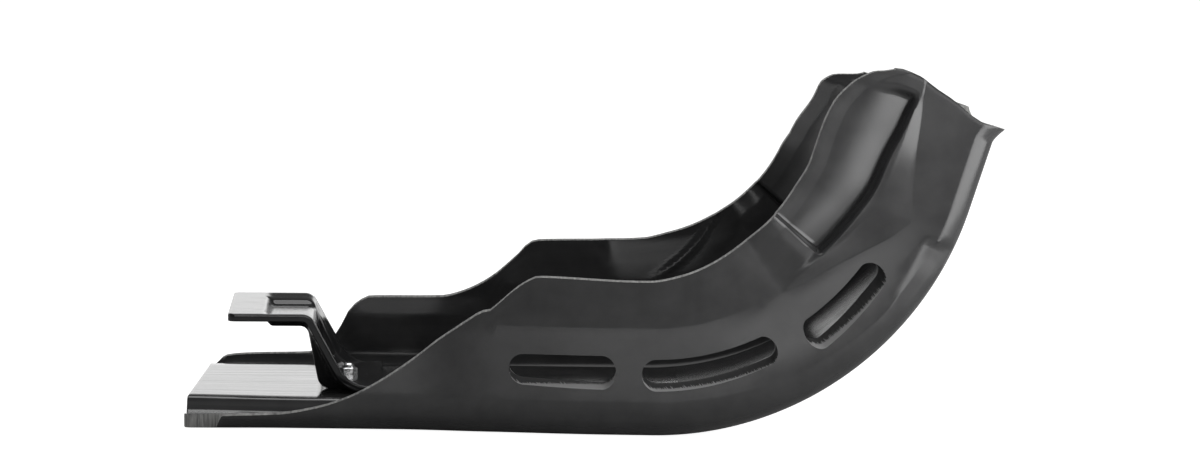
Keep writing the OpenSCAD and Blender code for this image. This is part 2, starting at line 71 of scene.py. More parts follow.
# A smooth curve through (place, value) marks that never overshoots them
def makeCurve(marks):
    rates = [(b[1] - a[1]) / (b[0] - a[0]) for a, b in zip(marks, marks[1:])]
    slopes = [0.0]
    for before, after in zip(rates, rates[1:]):
        slopes.append(0.0 if before * after <= 0 else 2 * before * after / (before + after))
    slopes.append(0.0)

    def value(s):
        k = 0
        while k < len(marks) - 2 and s >= marks[k + 1][0]:
            k += 1
        gap = marks[k + 1][0] - marks[k][0]
        t = unit((s - marks[k][0]) / gap)
        t2, t3 = t * t, t * t * t
        start = (2 * t3 - 3 * t2 + 1) * marks[k][1] + (t3 - 2 * t2 + t) * slopes[k] * gap
        return start + (3 * t2 - 2 * t3) * marks[k + 1][1] + (t3 - t2) * slopes[k + 1] * gap

    return value


# The two ends of a span and places between them, the outer ones close to the ends
def spanPlaces(a, b, count, edge):
    edge = min(edge, (b - a) / count)
    inner = count - 2
    places = [a + edge + (b - a - 2 * edge) * k / inner for k in range(inner + 1)]
    return places + [b]


# Points of a rounded corner between two straight runs
def roundedCorner(before, corner, after, edge, count):
    start = corner + (before - corner).normalized() * edge
    end = corner + (after - corner).normalized() * edge
    shares = [k / count for k in range(count + 1)]
    return [start * (1 - t) ** 2 + corner * 2 * t * (1 - t) + end * t * t for t in shares]


# Mesh helpers

def selectNothing():
    if bpy.context.object and bpy.context.object.mode != "OBJECT":
        bpy.ops.object.mode_set(mode="OBJECT")
    bpy.ops.object.select_all(action="DESELECT")


def makeActive(piece):
    selectNothing()
    piece.select_set(True)
    bpy.context.view_layer.objects.active = piece


def applyModifier(piece, kind, **values):
    makeActive(piece)
    modifier = piece.modifiers.new(kind.lower(), kind)
    for name, value in values.items():
        setattr(modifier, name, value)
    bpy.ops.object.modifier_apply(modifier=modifier.name)


# A closed skin over rings of points. places gives each ring's and each column's distance
# for the pattern of the surface, and finish gives a face's material from its place in the grid.
def makeSkin(name, rings, ringPlaces, columnPlaces, finish):
    ringCount = len(rings)
    columnCount = len(rings[0])
    selectNothing()
    bpy.ops.mesh.primitive_grid_add(x_subdivisions=ringCount - 1, y_subdivisions=columnCount, size=1)
    piece = bpy.context.object
    piece.name = name
    mesh = piece.data
    mesh.name = name
    pattern = mesh.uv_layers.active.data
    for face in mesh.polygons:
        corners = []
        for loop in face.loop_indices:
            co = mesh.vertices[mesh.loops[loop].vertex_index].co
            i = round((co.x + 0.5) * (ringCount - 1))
            j = round((co.y + 0.5) * columnCount)
            corners.append((i, j))
            pattern[loop].uv = (ringPlaces[i], columnPlaces[j])
        face.material_index = finish(min(c[0] for c in corners), min(c[1] for c in corners))
    for vertex in mesh.vertices:
        i = round((vertex.co.x + 0.5) * (ringCount - 1))
        j = round((vertex.co.y + 0.5) * columnCount)
        vertex.co = rings[i][j % columnCount]
    bpy.ops.object.mode_set(mode="EDIT")
    bpy.ops.mesh.select_all(action="SELECT")
    bpy.ops.mesh.remove_doubles(threshold=0.000008)
    bpy.ops.mesh.normals_make_consistent(inside=False)
    bpy.ops.object.mode_set(mode="OBJECT")
    return piece


# Tray: one formed and trimmed sheet. s runs along the outer side profile and h is the distance
# inside it, so a wall's height is measured square to the underside all the way up the nose.
tray = {
    "length": 0.498,
    "sheet": 0.008,
    "flatHalf": 0.107,
    "rearTaper": 0.013,
    "corner": 0.023,
    "noseCorner": 0.013,
    "floorWidth": 0.168,
    "floorRise": 0.009,
    "riseRun": 0.004,
    "wallLean": 0.004,
    "leanHeight": 0.068,
    "bendRadius": 0.200,
    "bendAngle": 72.5,
    "noseLength": 0.054,
    "lipLength": 0.010,
    "lipFlare": 0.005,
    "sideHeight": 0.096,
    "nearRear": 0.011,
    "farRear": 0.021,
    "farShelf": 0.059,
    "nearNose": 0.1045,
    "farNose": 0.105,
    "nearCrest": 0.0155,
    "noseDip": 0.006,
    "nearRound": 0.004,
    "farRound": 0.016,
    "foldDepth": 0.0009,
    "panelDepth": 0.0055,
    "stepWidth": 0.0042,
    "panelGap": 0.010,
    "ridgeHeight": 0.0035,
    "ridgeFade": 0.85,      # share of the ridge that is lost behind the nose's crest
    "stripWidth": 0.010,
    "stripOut": 0.0015,
    "rimEdge": 0.0007,      # size of the rounding at a cut edge
    "crease": 0.0008,       # size of the rounding at a fold
}
bendAngle = math.radians(tray["bendAngle"])
bendRadius = tray["bendRadius"]
bendLength = bendRadius * bendAngle
noseLength = tray["noseLength"]
noseReach = (bendRadius + tray["lipFlare"]) * math.sin(bendAngle) + noseLength * math.cos(bendAngle)
floorLength = tray["length"] - noseReach
rearX = -tray["length"] / 2
bendX = rearX + floorLength
bendEnd = floorLength + bendLength
pathLength = bendEnd + noseLength
foldTop = floorLength + bendLength * 0.395
facetStart = floorLength + bendLength * 0.48
facetTurn = floorLength + bendLength * 0.92
panelStart = floorLength + bendLength * 0.67
panelEnd = pathLength - tray["panelGap"]
panelStep = 0.005
growLength = 0.04


def trimLines():
    side, rear, nose = tray["sideHeight"], tray["nearRear"], tray["nearNose"]
    floorMarks = [
        (0.203, rear), (0.289, rear * 1.43), (0.354, side * 0.232), (0.419, side * 0.335),
        (0.494, side * 0.488), (0.543, side * 0.605), (0.576, side * 0.673), (0.615, side * 0.753),
        (0.634, side * 0.79), (0.655, side * 0.803), (0.664, side * 0.826), (0.695, side * 0.911),
        (0.719, side * 0.968), (0.757, side * 1.02), (0.97, side)]
    bendMarks = [(0.12, mix(side, nose, 0.27)), (0.57, nose), (0.83, nose * 0.996), (1, nose * 0.975)]
    noseMarks = [(0.3, nose * 0.974), (0.53, nose * 0.957), (0.74, nose * 0.898), (0.91, nose * 0.798),
                 (1, nose * 0.68)]
    nearMarks = [(0, tray["sheet"] + 0.001), (0.03, rear - 0.001)]
    nearMarks += [(floorLength * a, h) for a, h in floorMarks]
    nearMarks += [(floorLength + bendLength * a, h) for a, h in bendMarks]
    nearMarks += [(bendEnd + noseLength * a, h) for a, h in noseMarks]

    rear, shelf, nose = tray["farRear"], tray["farShelf"], tray["farNose"]
    floorMarks = [
        (0.22, rear), (0.25, rear * 1.15), (0.282, shelf * 0.58), (0.312, shelf * 0.85),
        (0.335, shelf * 0.95), (0.36, shelf), (0.525, shelf * 1.01), (0.57, shelf * 1.06),
        (0.63, mix(shelf, side, 0.32)), (0.7, mix(shelf, side, 0.77)), (0.73, side),
        (0.755, side * 1.014), (0.94, side * 1.02)]
    bendMarks = [(0.13, mix(side, nose, 0.65)), (0.5, nose), (0.91, nose * 0.995)]
    noseMarks = [(0.12, nose * 0.964), (0.52, nose * 0.904), (0.7, nose * 0.892), (0.84, nose * 0.837),
                 (1, nose * 0.65)]
    farMarks = [(0, tray["sheet"] + 0.005), (0.007, rear - 0.003), (0.03, rear - 0.0012)]
    farMarks += [(floorLength * a, h) for a, h in floorMarks]
    farMarks += [(floorLength + bendLength * a, h) for a, h in bendMarks]
    farMarks += [(bendEnd + noseLength * a, h) for a, h in noseMarks]
    return {near: makeCurve(nearMarks), far: makeCurve(farMarks)}


trimHeight = trimLines()

# The end of the nose stands up past the lip on the near side and dips between its corners
crest = tray["nearCrest"]
nearEnd = makeCurve([(tray["noseCorner"], 0)] + [(tray["nearNose"] * a, crest * b) for a, b in (
    (0.18, 0.1), (0.28, 0.43), (0.43, 0.72), (0.53, 0.95), (0.63, 1), (0.7, 0.92))])


def endRise(side, y, h):
    dip = tray["noseDip"] * max(0, 1 - (y / tray["flatHalf"]) ** 2) ** 0.7
    return (nearEnd(h) if side == near else 0) - dip


def lipOut(s, h):
    start = pathLength - tray["lipLength"]
    if s <= start:
        return 0
    return tray["lipFlare"] * ((s - start) / tray["lipLength"]) ** 1.4 * (1 - ease(h / 0.03))


def placePoint(side, s, y, h):
    if s <= floorLength:
        return Vector((rearX + s, side * y, h))
    turn = min(s - floorLength, bendLength) / bendRadius
    past = max(0, s - bendEnd)
    reach = bendRadius - h + lipOut(s, h)
    along = past + endRise(side, y, h) * past / noseLength
    return Vector((bendX + reach * math.sin(turn) + along * math.cos(turn), side * y,
                   bendRadius - reach * math.cos(turn) + along * math.sin(turn)))


rearHalf = tray["flatHalf"] - tray["rearTaper"]
flatAt = makeCurve([
    (0, rearHalf + 0.002), (0.06, rearHalf - 0.001), (floorLength * 0.45, rearHalf - 0.001),
    (floorLength * 0.67, mix(rearHalf, tray["flatHalf"], 0.45)),
    (floorLength * 0.9, tray["flatHalf"] - 0.001),
    (floorLength + 0.04, tray["flatHalf"]), (pathLength, tray["flatHalf"])])


def cornerAt(s):
    return mix(tray["corner"], tray["noseCorner"], ease((s - floorLength) / bendLength))


def floorHalfAt(s):
    return tray["floorWidth"] / 2 - 0.005 * (1 - ease(s / 0.07))


def riseAt(s):
    return tray["floorRise"] * (1 - ease((s - floorLength - bendLength * 0.62) / (bendLength * 0.36)))


# Relief of the nose walls. The lean of the wall ends at one point, the foot. From there a fold
# runs up to the trim line and a ridge up towards the crest, where it fades. Behind the ridge is a
# hollow panel, in front of it a three sided facet, and a strip runs along the trim line.
footHeight = tray["nearNose"] * 0.632
ridgeLine = makeCurve([
    (facetStart, footHeight), (floorLength + bendLength * 0.59, footHeight * 1.019),
    (floorLength + bendLength * 0.72, footHeight), (floorLength + bendLength * 0.85, footHeight * 0.956),
    (floorLength + bendLength * 0.96, footHeight * 0.897), (bendEnd + noseLength * 0.22, footHeight * 0.861),
    (bendEnd + noseLength * 0.54, footHeight * 0.81), (pathLength, footHeight * 0.77)])
facetLine = makeCurve([
    (facetStart - growLength / 2, footHeight * 1.04), (facetStart, footHeight),
    (floorLength + bendLength * 0.64, footHeight * 0.899),
    (floorLength + bendLength * 0.78, footHeight * 0.726),
    (floorLength + bendLength * 0.845, footHeight * 0.608), (facetTurn, tray["nearNose"] * 0.305),
    (bendEnd, tray["nearNose"] * 0.2)])


def facetFront(s):
    if s < facetTurn:
        return facetLine(s)
    return tray["nearNose"] * mix(0.305, 0.49, (s - facetTurn) / (pathLength - facetTurn))


def foldAt(h):
    return mix(facetStart, foldTop, unit((h - footHeight) / (tray["nearNose"] - footHeight)))


def relief(s, h, top):
    low = ridgeLine(s)
    high = low + tray["stepWidth"]
    past = ease((s - panelEnd + panelStep / 2) / panelStep)
    along = ease((s - panelStart) / panelStep) * (1 - past)
    down = unit((h - low) / tray["stepWidth"])
    v = unit((h - high) / (top - tray["stripWidth"] - high))
    hollow = tray["panelDepth"] * (1 - v) ** 1.5
    sunk = tray["foldDepth"] * unit((s - foldAt(h)) / (panelStart - foldAt(h))) * (1 - past)
    grown = ease((s - facetStart) / growLength)
    front = facetFront(s)
    ridge = tray["ridgeHeight"] * grown * unit((h - front) / max(0.001, low - front))
    ridge *= 1 - tray["ridgeFade"] * ease((s - panelEnd + 0.01) / 0.012)
    strip = tray["stripOut"] * grown * unit((h - top + tray["stripWidth"]) / tray["stripWidth"])
    return ridge - (ridge + hollow) * along * down ** 1.7 - sunk * down + strip


# The far wall has a turned out band under its long shelf, and a turned out facet that ends in a
# crease, which runs down and back from the trim line at the start of the bend
farForm = {
    "bandFrom": 0.26,           # ends of the band, as shares of the floor's length
    "bandTo": 0.68,
    "bandStart": 0.0465,
    "bandHeight": 0.0125,
    "bandOut": 0.0023,
    "facetStart": 0.2585,
    "facetLean": 0.39,
    "facetLow": 0.070,
    "facetHeight": 0.028,
    "facetOut": 0.0024,
    "creaseLow": 0.0742,
    "creaseHeight": 0.0245,
    "creaseAngles": (3.3, 23),  # places of its two ends on the bend, in degrees
    "creaseEdge": 0.003,
    "creaseRun": 0.012,
    "groove": 0.002,
}


def farRelief(s, h):
    along = ease((s - floorLength * farForm["bandFrom"]) / 0.02)
    along *= ease((floorLength * farForm["bandTo"] - s) / 0.03)
    band = farForm["bandOut"] * along * unit((h - farForm["bandStart"]) / farForm["bandHeight"])
    climb = h - farForm["creaseLow"]
    start = farForm["facetStart"] - climb * farForm["facetLean"]
    angle = mix(*farForm["creaseAngles"], climb / farForm["creaseHeight"])
    crease = floorLength + bendRadius * math.radians(angle)
    up = unit((h - farForm["facetLow"]) / farForm["facetHeight"])
    facet = farForm["facetOut"] * up * ease((s - start) / 0.012) * (1 - unit((s - crease) / 0.06))
    edge, run = farForm["creaseEdge"], farForm["creaseRun"]
    groove = farForm["groove"] * min(up * 3, 1) * unit((s - crease + edge) / edge)
    return band + facet - groove * (1 - unit((s - crease) / run))


# How far a wall stands outside its plain line at height h, averaged a little over the folds
def wallOut(side, s, h, big, top):
    onNose = ease((s - floorLength - bendLength * 0.2) / (bendLength * 0.2))
    out = 0
    for step, share in ((-tray["crease"], 0.25), (0, 0.5), (tray["crease"], 0.25)):
        t = unit((h + step - big) / (tray["leanHeight"] - big))
        out -= share * tray["wallLean"] * mix(t, ease(t), onNose)
        if s > foldTop:
            out += share * relief(s, h + step, top)
        if side == far:
            out += share * farRelief(s, h + step)
    return out


# Distances of a side's rows from the start of its corner, out to the trim line
rowSpans = {"nose": (8, 7, 7, 4, 10, 4), "wall": (9, 15, 16)}
sideRows = 40


def rowPlaces(s, arc, big, top, whole):
    even = [whole * k / sideRows for k in range(sideRows + 1)]
    onWall = ease((top - tray["leanHeight"] - 0.004) / 0.008)
    onNose = ease((s - floorLength - bendLength * 0.26) / (bendLength * 0.2))
    places = even
    edge = tray["crease"]
    if onWall > 0:
        marks = [0, arc, arc + tray["leanHeight"] - big, whole]
        rows = [0]
        for a, b, count in zip(marks, marks[1:], rowSpans["wall"]):
            rows += spanPlaces(a, b, count, edge)
        places = [mix(a, b, onWall) for a, b in zip(places, rows)]
    if onNose > 0:
        low = ridgeLine(s)
        front = min(max(facetFront(s), big + 0.004), low - 0.001)
        heights = [front, low, low + tray["stepWidth"], top - tray["stripWidth"]]
        marks = [0, arc] + [arc + h - big for h in heights] + [whole]
        rows = [0]
        for a, b, count in zip(marks, marks[1:], rowSpans["nose"]):
            rows += spanPlaces(a, b, count, edge)
        places = [mix(a, b, onNose) for a, b in zip(places, rows)]
    return places


lipEnd = 0.019
lipStep = 0.006


# The rear end of the near side is cut down to a lip
def cutTop(side, s, inset):
    top = trimHeight[side](s)
    outer = mix(0.0005, top, ease((s - lipEnd) / lipStep)) if side == near else top
    inner = max(top, tray["sheet"] + 0.0006)
    return mix(outer, inner, inset / tray["sheet"])


# A flat strip is pressed into the outer corner where it turns up into the nose
cornerStrip = {
    "start": 40.0,      # degrees along the bend
    "growth": 22,
    "end": 64.6,
    "endLean": 100,     # degrees of the slanting end for each metre of height
    "height": 0.0185,
    "slope": 0.384,
    "depth": 0.003,
}


def stripLine(s, h, wall):
    angle = math.degrees((s - floorLength) / bendRadius)
    below = cornerStrip["height"] - h
    grown = unit((angle - cornerStrip["start"]) / cornerStrip["growth"])
    grown *= unit((cornerStrip["end"] + below * cornerStrip["endLean"] - angle) / 0.3)
    return wall - below * cornerStrip["slope"] + cornerStrip["depth"] * (1 - grown)


# Half of a cross section, from the middle of the floor out to the trim line, as (y, h)
def halfSection(side, s, inset):
    half, up, sheet = floorHalfAt(s), riseAt(s), tray["sheet"]
    shift = (sheet - inset) * math.tan(math.atan2(up, tray["riseRun"]) / 2)
    foldEdge = 0.0022
    base = flatAt(s)
    high = Vector((half - shift, up + inset))
    low = Vector((half + tray["riseRun"] - shift, inset))
    points = [Vector((t * (half - sheet), up + inset)) for t in (0, 0.25, 0.5, 0.75, 0.95)]
    points += roundedCorner(points[-1], high, low, foldEdge, 3)
    points += roundedCorner(high, low, Vector((base, inset)), foldEdge, 3)
    points.append(Vector((mix(low.x + foldEdge, base, 0.5), inset)))

    big = cornerAt(s)
    r = big - inset
    top = cutTop(side, s, inset)
    turn = math.acos((big - top) / r) if top < big else math.pi / 2
    arc = r * turn
    whole = arc + max(0, top - big)
    roundness = tray["nearRound"] if side == near else tray["farRound"]
    cut = roundness - math.sqrt(roundness ** 2 - (roundness - s) ** 2) if s < roundness else 0
    y0 = points[-1].x
    room = base + r * math.sin(turn) - y0
    keep = max(0.12, (room - cut) / room)
    rows = rowPlaces(s, arc, big, top, whole)
    rows[-1] = whole - min(tray["rimEdge"], (whole - rows[-2]) / 2)
    for d in rows + [whole]:
        a = min(turn, d / r)
        h = big - r * math.cos(a) if top < big or d <= arc else big + d - arc
        out = base + r * math.sin(a)
        if inset < tray["sheet"] / 2:
            out = min(out, stripLine(s, h, base + r))
        out += wallOut(side, s, h, big, top)
        points.append(Vector((y0 + (out - y0) * keep, h)))
    return points


# The points round a cut edge, between the last rows of the outer and the inner side
def rimPoints(outer, inner):
    width = (inner[-1] - outer[-1]).length
    edge = min(tray["rimEdge"], width / 3)
    if edge < 0.00001:
        return [outer[-1]] * 7
    middle = (outer[-1] + inner[-1]) / 2
    first = roundedCorner(outer[-2], outer[-1], middle, edge, 3)[1:]
    last = roundedCorner(inner[-2], inner[-1], middle, edge, 3)[1:]
    return first + [middle] + last[::-1]


def crossSection(s, inset):
    sheet = tray["sheet"]
    columns = {}
    for side in (near, far):
        outer = halfSection(side, s, inset)
        inner = halfSection(side, s, sheet - inset)
        columns[side] = (outer[:-1], rimPoints(outer, inner), inner[:-1])
    ring = [placePoint(near, s, p.x, p.y) for p in columns[near][0][:0:-1]]
    for part in columns[far][:2]:
        ring += [placePoint(far, s, p.x, p.y) for p in part]
    ring += [placePoint(far, s, p.x, p.y) for p in columns[far][2][::-1]]
    ring += [placePoint(near, s, p.x, p.y) for p in columns[near][2][1:]]
    ring += [placePoint(near, s, p.x, p.y) for p in columns[near][1][::-1]]
    return ring, len(columns[far][0])


def spread(a, b, step):
    count = max(1, round((b - a) / step))
    return [mix(a, b, k / count) for k in range(count)]


# Stations along the path, closer where the form changes faster
def trayStations():
    places = [0.0015, 0.003, 0.005, 0.0075, 0.0105, 0.014, 0.0165]
    places += spread(lipEnd, lipEnd + lipStep, 0.001)
    places += spread(lipEnd + lipStep, floorLength, 0.0045)
    places += spread(floorLength, foldTop - 0.002, 0.004)
    places += spread(foldTop - 0.002, facetStart + 0.002, 0.0012)
    places += spread(facetStart + 0.002, panelStart, 0.003)
    places += spread(panelStart, panelStart + panelStep, 0.00075)
    places += spread(panelStart + panelStep, panelEnd - panelStep, 0.003)
    places += spread(panelEnd - panelStep, panelEnd + panelStep / 2, 0.0009)
    places += spread(panelEnd + panelStep / 2, pathLength - 0.0015, 0.001)
    edge = tray["rimEdge"]
    ends = [(0, tray["sheet"] / 2), (0, edge), (edge * 0.13, edge * 0.5)]
    ends += [(edge * 0.5, edge * 0.13), (edge, 0)]
    stations = ends + [(s, 0) for s in places]
    stations += [(pathLength - s, inset) for s, inset in reversed(ends)]
    return stations


def makeTray():
    stations = trayStations()
    rings = []
    for s, inset in stations:
        ring, halfCount = crossSection(s, inset)
        rings.append(ring)
    outerEnd = 2 * halfCount - 2
    innerStart = outerEnd + 8
    innerEnd = innerStart + 2 * halfCount - 2
    lastRing = len(rings) - 2

    def finish(i, j):
        if i < 2 or i > lastRing - 2:
            return 2
        if j < outerEnd:
            return 0
        if innerStart + sideRows < j < innerEnd - sideRows and stations[i][0] < bendX - rearX + 0.02:
            return 1
        if innerStart <= j < innerEnd:
            return 3
        return 2

    middle = rings[len(rings) // 3]
    columnPlaces = [0.0]
    for a, b in zip(middle, middle[1:] + middle[:1]):
        columnPlaces.append(columnPlaces[-1] + (b - a).length)
    piece = makeSkin("formed_tray", rings, [s for s, inset in stations], columnPlaces, finish)
    print("tray skin", len(rings), "rings of", len(rings[0]), "columns")
    return piece


# Start and end along the path, height and rise of the lower lip of each slot
slots = {
    "height": 0.018,
    "straight": (floorLength - 0.0785, floorLength - 0.0315, 0.042, 0.0035),
    "middle": (floorLength + math.radians(0.6) * bendRadius, floorLength + math.radians(25) * bendRadius,
               0.040, 0.004),
    "front": (floorLength + math.radians(36.5) * bendRadius, floorLength + math.radians(53) * bendRadius,
              0.035, 0.0065),
}


# A long rounded cutter in s and h that is then bent along the side profile
def makeSlotCutter(side, start, end, h, lip):
    radius = slots["height"] / 2
    wall = flatAt(start) + cornerAt((start + end) / 2) - tray["wallLean"] / 2
    depth = 0.05
    straight = end - start
    selectNothing()
    bpy.ops.mesh.primitive_cylinder_add(vertices=64, radius=radius, depth=depth, location=(0, 0, 0),
                                        rotation=(math.pi / 2, 0, 0))
    cutter = bpy.context.object
    bpy.ops.object.transform_apply(location=False, rotation=True, scale=False)
    for vertex in cutter.data.vertices:
        if vertex.co.x > 0.00001:
            vertex.co.x += straight
    bpy.ops.object.mode_set(mode="EDIT")
    bpy.ops.mesh.select_all(action="DESELECT")
    bpy.ops.mesh.select_mode(type="EDGE")
    bpy.ops.object.mode_set(mode="OBJECT")
    for edge in cutter.data.edges:
        a, b = (cutter.data.vertices[k].co for k in edge.vertices)
        edge.select = abs(a.x - b.x) > straight * 0.8
    bpy.ops.object.mode_set(mode="EDIT")
    bpy.ops.mesh.subdivide(number_cuts=24)
    bpy.ops.object.mode_set(mode="OBJECT")
    for vertex in cutter.data.vertices:
        x, y, z = vertex.co
        rise = lip * (-side * y / tray["sheet"]) * (radius - z) / (2 * radius)
        place = placePoint(side, start + x, wall, h + z + rise)
        vertex.co = (place.x, side * wall + y, place.z)
    pattern = cutter.data.uv_layers.active.data
    for loop in cutter.data.loops:
        co = cutter.data.vertices[loop.vertex_index].co
        pattern[loop.index].uv = (co.x + co.z, (wall - side * co.y) / tray["sheet"])
    bpy.ops.object.mode_set(mode="EDIT")
    bpy.ops.mesh.select_all(action="SELECT")
    bpy.ops.mesh.normals_make_consistent(inside=False)
    bpy.ops.object.mode_set(mode="OBJECT")
    return cutter


# Cuts a piece and gives the new surface its last material
def cutWith(piece, cutter):
    cutter.data.materials.clear()
    for material in piece.data.materials:
        cutter.data.materials.append(material)
    for face in cutter.data.polygons:
        face.material_index = len(piece.data.materials) - 1
    applyModifier(piece, "BOOLEAN", operation="DIFFERENCE", solver="EXACT", object=cutter)
    bpy.data.objects.remove(cutter, do_unlink=True)


def cutBoltHole(piece, z):
    selectNothing()
    bpy.ops.mesh.primitive_cylinder_add(vertices=48, radius=fastener["hole"] / 2, depth=0.03,
                                        location=(fastener["x"], 0, z))
    cutter = bpy.context.object
    bpy.ops.object.transform_apply(location=True, rotation=False, scale=False)
    cutWith(piece, cutter)


def cutSlots(piece):
    for side in (near, far):
        for name in ("straight", "middle", "front"):
            cutWith(piece, makeSlotCutter(side, *slots[name]))
    print("slots cut")


# Hook: a formed sheet. Its edges are rails in front of its sunken middle, so the two follow
# paths of their own. low is 0 on its upper side and 1 on its lower side.
fastener = {
    "x": rearX + 0.095,
    "hole": 0.0066,
}
hook = {
    "width": 0.124,
    "height": 0.0494,
    "tongue": 0.051,
    "sheet": 0.0047,
    "trough": 0.0055,
    "rail": 0.020,
    "slope": 0.005,
    "legLean": 11.5,
    "railLean": 29.0,
    "legBack": 0.018,
    "railBack": -0.001,
    "foot": 0.022,
    "turn": 3.0,
    "corner": 0.005,        # rounding of the tongue's corners, seen from above
    "edge": 0.0008,         # rounding of the sheet's edges
    "sinkStart": 0.4,       # where the trough starts, as a share of the tongue
    "sinkLength": 0.007,
    "railBend": 0.0085,
    "troughBend": 0.0055,
    "railFoot": 0.020,
    "troughFoot": 0.005,
}
deckZ = tray["floorRise"] + tray["sheet"]
tongueZ = deckZ + hook["height"]
footZ = deckZ + hook["sheet"]
tongueX = fastener["x"] - hook["railBack"] - hook["tongue"]
tongueX -= (tongueZ - footZ) * math.tan(math.radians(hook["railLean"]))


# An arc of the given radius in the corner of a path
def arcPoints(before, corner, after, radius, count):
    u, v = (before - corner).normalized(), (after - corner).normalized()
    half = u.angle(v) / 2
    center = corner + (u + v).normalized() * radius / math.sin(half)
    start = corner + u * radius / math.tan(half) - center
    end = corner + v * radius / math.tan(half) - center
    return [center + start.lerp(end, k / count).normalized() * radius for k in range(count + 1)]


# Side outline of the hook at a height in its sheet, for the rails or for the middle
def hookPath(low, middle):
    sheet = hook["sheet"]
    sink = hook["trough"] if middle else 0
    top, foot = tongueZ - low * sheet, footZ - low * sheet
    if middle:
        lean = math.radians(hook["legLean"])
        x = fastener["x"] - hook["legBack"] + (1 - low) * sheet / math.cos(lean)
        bend, footBend = hook["troughBend"], hook["troughFoot"] + low * sheet * 0.64
        base = deckZ
    else:
        lean = math.radians(hook["railLean"])
        x = fastener["x"] - hook["railBack"] - low * sheet / math.cos(lean)
        bend, footBend = hook["railBend"] - low * sheet, hook["railFoot"] + low * sheet
        base = footZ
    edge = hook["edge"]
    starts = [0, 0, edge * 0.13, edge * 0.5, edge]
    starts += [mix(edge, hook["corner"], k / 6) for k in range(1, 7)]
    sinkX = hook["tongue"] * hook["sinkStart"]
    starts += [mix(hook["corner"], sinkX, k / 5) for k in range(1, 5)]
    points = [Vector((tongueX + d, top)) for d in starts]
    for k in range(11):
        points.append(Vector((tongueX + sinkX + hook["sinkLength"] * k / 10, top - sink * ease(k / 10))))
    high = Vector((x - (top - sink - base) * math.tan(lean), top - sink))
    deep = Vector((x - (foot - base) * math.tan(lean), foot))
    end = Vector((fastener["x"] + hook["foot"], foot))
    first = arcPoints(points[-1], high, deep, bend, 12)
    second = arcPoints(high, deep, end, footBend, 14)
    ends = [edge, edge * 0.5, edge * 0.13, 0, 0]
    for a, b, count in ((points[-1], first[0], 5), (first[-1], second[0], 8), (second[-1], end, 6)):
        run = [a.lerp(b, k / count) for k in range(1, count)]
        if b is first[0]:
            points += run + first
        elif b is second[0]:
            points += run + second
        else:
            points += run + [Vector((end.x - d, end.y)) for d in ends]
    return points


# The rounded outline of the sheet's cross section, as (y, low)
def hookOutline():
    half, edge = hook["width"] / 2, hook["edge"]
    share = edge / hook["sheet"]
    marks = [0, 0.25, 0.5, 0.7, 0.85, 0.95, 1]
    inner = half - hook["rail"] - hook["slope"]
    ys = [inner * m for m in marks] + [mix(inner, half - hook["rail"], k / 5) for k in range(1, 6)]
    ys += [mix(half - hook["rail"], half - edge, k / 6) for k in range(1, 7)]
    rim = [(half - edge * 0.5, share * 0.13), (half - edge * 0.13, share * 0.5), (half, share), (half, 0.5)]
    side = [(y, 0) for y in ys] + rim + [(y, 1 - low) for y, low in rim[:-1][::-1]]
    side += [(y, 1) for y in ys[::-1]]
    return side + [(-y, low) for y, low in side[-2:0:-1]]


def makeHook():
    outline = hookOutline()
    half = hook["width"] / 2
    drop = makeCurve([(0, 1), (half - hook["rail"] - hook["slope"], 1), (half - hook["rail"], 0.45),
                      (half - hook["rail"] * 0.5, 0.2), (half - 0.0012, 0), (half + 0.001, 0)])
    paths = {}
    share = hook["edge"] / hook["sheet"]
    insets = [0.5, share, share * 0.5, share * 0.13, 0]
    count = len(hookPath(0, True))
    turn = Matrix.Rotation(math.radians(hook["turn"]), 2)
    rings = []
    for i in range(count):
        inset = insets[min(i, count - 1 - i, 4)]
        ring = []
        for y, low in outline:
            low = min(1 - inset, max(inset, low))
            if low not in paths:
                paths[low] = (hookPath(low, False), hookPath(low, True))
            place = paths[low][0][i].lerp(paths[low][1][i], drop(abs(y)))
            gone = max(0, hook["corner"] - (paths[low][0][i].x - tongueX))
            width = half - hook["corner"] + math.sqrt(max(0, hook["corner"] ** 2 - gone ** 2))
            flat = turn @ Vector((place.x - fastener["x"], y * width / half))
            ring.append(Vector((fastener["x"] + flat.x, flat.y, place.y)))
        rings.append(ring)
    ringPlaces = [0.0]
    for a, b in zip(rings, rings[1:]):
        ringPlaces.append(ringPlaces[-1] + (b[0] - a[0]).length)
    columnPlaces = [0.0]
    middle = rings[count // 2]
    for a, b in zip(middle, middle[1:] + middle[:1]):
        columnPlaces.append(columnPlaces[-1] + (b - a).length)
    piece = makeSkin("formed_hook", rings, ringPlaces, columnPlaces, lambda i, j: 0)
    print("hook skin", count, "rings of", len(outline), "columns")
    return piece


# Node groups that more than one material uses

def addNode(tree, kind, place, **values):
    node = tree.nodes.new(kind)
    node.location = place
    for name, value in values.items():
        setattr(node, name, value)
    return node


def setInputs(node, **values):
    for name, value in values.items():
        node.inputs[name.replace("_", " ")].default_value = value


def newGroup(name, inputs, outputs):
    group = bpy.data.node_groups.new(name, "ShaderNodeTree")
    for label, kind, value in inputs:
        socket = group.interface.new_socket(name=label, in_out="INPUT", socket_type=kind)
        if value is not None:
            socket.default_value = value
    for label, kind in outputs:
        group.interface.new_socket(name=label, in_out="OUTPUT", socket_type=kind)
    start = addNode(group, "NodeGroupInput", (-800, 0))
    end = addNode(group, "NodeGroupOutput", (600, 0))
    return group, start, end


